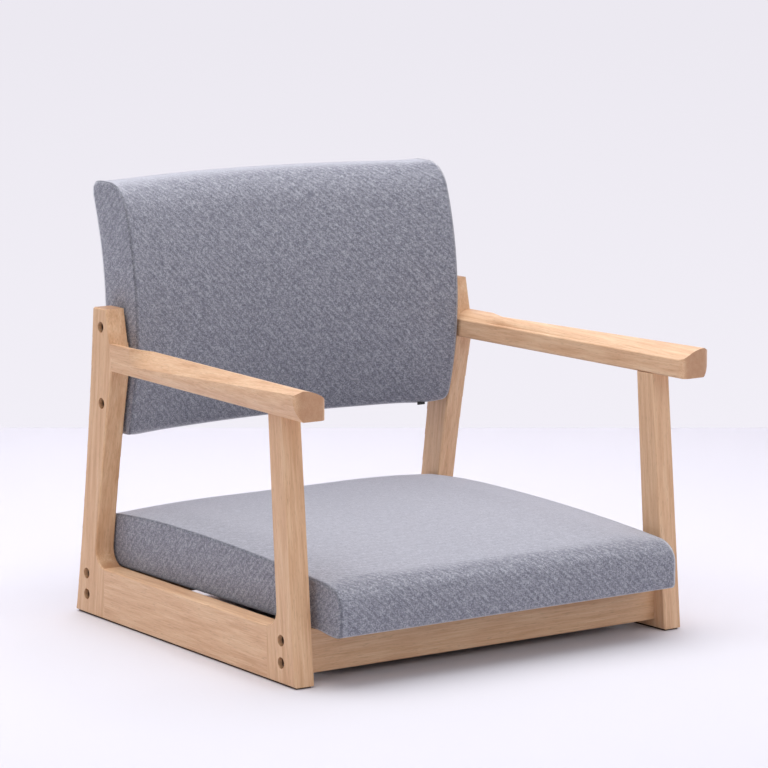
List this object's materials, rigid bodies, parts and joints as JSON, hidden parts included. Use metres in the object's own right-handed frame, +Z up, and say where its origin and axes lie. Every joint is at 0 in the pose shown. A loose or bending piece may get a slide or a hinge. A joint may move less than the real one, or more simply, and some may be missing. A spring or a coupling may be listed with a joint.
{
  "type": "floor chair",
  "caption": "Low floor chair with armrests: timber side frames joined by cross rails, a padded seat just above the floor and a curved padded backrest.",
  "frame": {"origin": "centre of the bounding box on the floor plane", "axes": "+Z up, the sitter faces -Y, +X to the right of someone who stands in front and looks at the chair"},
  "size_m": [0.573, 0.5618, 0.5173],
  "materials": {
    "frame_timber": "satin clear lacquer on pale pinkish timber",
    "inner_timber": "raw",
    "plywood": "raw",
    "upholstery_fabric": "grey-blue melange weave",
    "foam": "open-cell foam",
    "dust_cover_fabric": "thin non-woven",
    "label_fabric": "woven tape",
    "felt": "felt",
    "bronzed_steel": "dark bronze",
    "zinc_steel": "zinc plated",
    "nylon": "moulded"
  },
  "bodies": {
    "root": {"side_rail_left": "frame_timber", "side_rail_right": "frame_timber", "rear_post_left": "frame_timber", "rear_post_right": "frame_timber", "front_leg_left": "frame_timber", "front_leg_right": "frame_timber", "armrest_left": "frame_timber", "armrest_right": "frame_timber", "front_cross_rail": "frame_timber", "rear_cross_rail": "frame_timber", "back_mount_block_left": "inner_timber", "back_mount_block_right": "inner_timber", "side_frame_dowels_left": "inner_timber", "side_frame_dowels_right": "inner_timber", "cross_rail_locating_dowels": "inner_timber", "seat_board": "plywood", "back_panel": "plywood", "seat_cover": "upholstery_fabric", "back_cover": "upholstery_fabric", "seat_foam": "foam", "back_foam_front": "foam", "back_foam_rear": "foam", "seat_dust_cover": "dust_cover_fabric", "back_cover_tab": "label_fabric", "floor_strip_left": "felt", "floor_strip_right": "felt", "cross_rail_bolts": "bronzed_steel", "cross_rail_washers": "bronzed_steel", "backrest_bolts": "bronzed_steel", "backrest_washers": "bronzed_steel", "seat_bolts": "bronzed_steel", "seat_bolt_washers": "bronzed_steel", "cross_rail_barrel_nuts": "zinc_steel", "backrest_insert_nuts": "zinc_steel", "seat_tee_nuts": "zinc_steel", "back_block_screws": "zinc_steel", "backrest_spacers": "nylon"}
  },
  "joints": []
}
